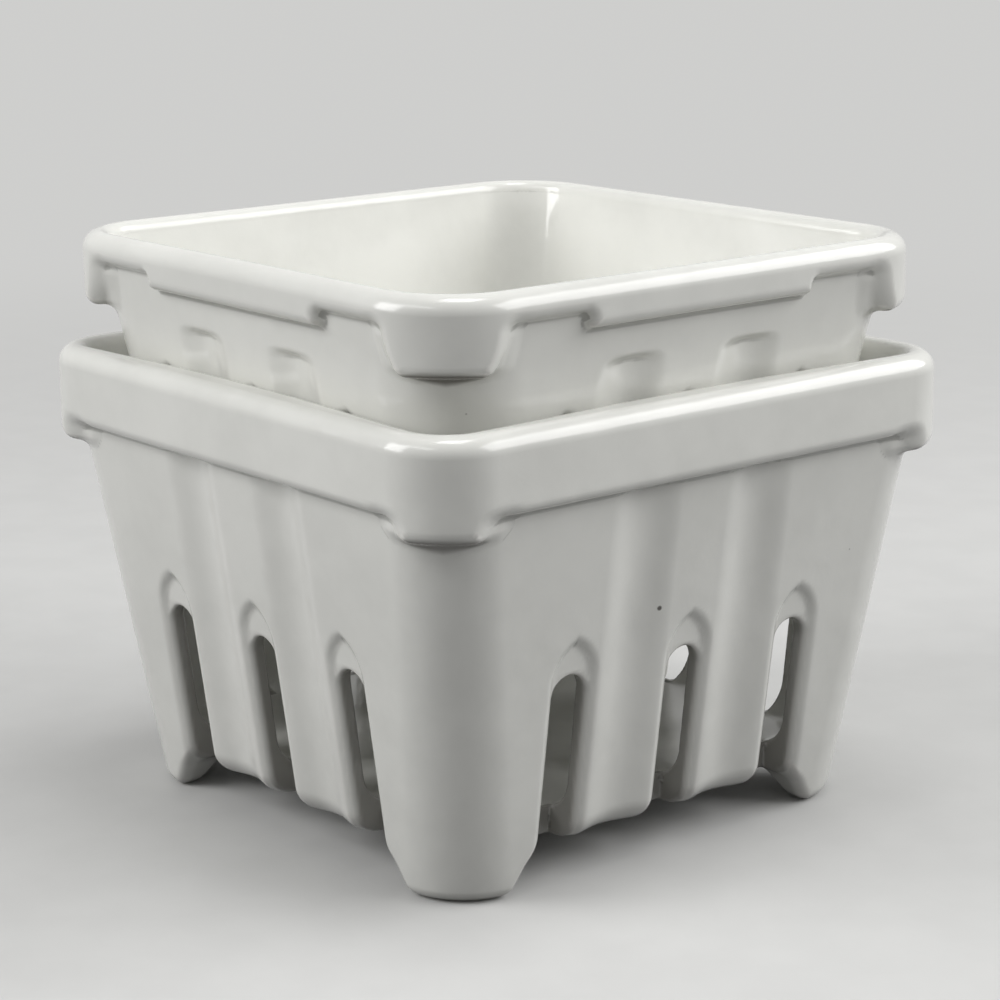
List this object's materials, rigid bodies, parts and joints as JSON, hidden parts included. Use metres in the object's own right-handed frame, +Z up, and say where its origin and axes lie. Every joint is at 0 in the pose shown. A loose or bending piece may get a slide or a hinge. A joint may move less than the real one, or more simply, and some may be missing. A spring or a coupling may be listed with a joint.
{
  "type": "berry colander bowl",
  "caption": "Square porcelain colander bowl modelled on a berry basket, with slotted sides and corner feet, and a smaller shallow bowl seated in its rim.",
  "frame": {"origin": "middle of the footprint, on the surface that the lower bowl's feet stand on", "axes": "+Z up through the middle of both bowls, with their sides facing +X, -X, +Y and -Y"},
  "size_m": [0.13, 0.13, 0.1128],
  "materials": {
    "glaze_lower": "clear gloss glaze over warm white porcelain",
    "glaze_upper": "clear gloss glaze over warm white porcelain"
  },
  "bodies": {
    "lower": {"lower_bowl": "glaze_lower"},
    "upper": {"upper_bowl": "glaze_upper"}
  },
  "joints": [
    {"name": "upper_lift", "type": "slide", "parent": "lower", "child": "upper", "axis": [0, 0, 1], "range_m": [0, 0.06]}
  ]
}
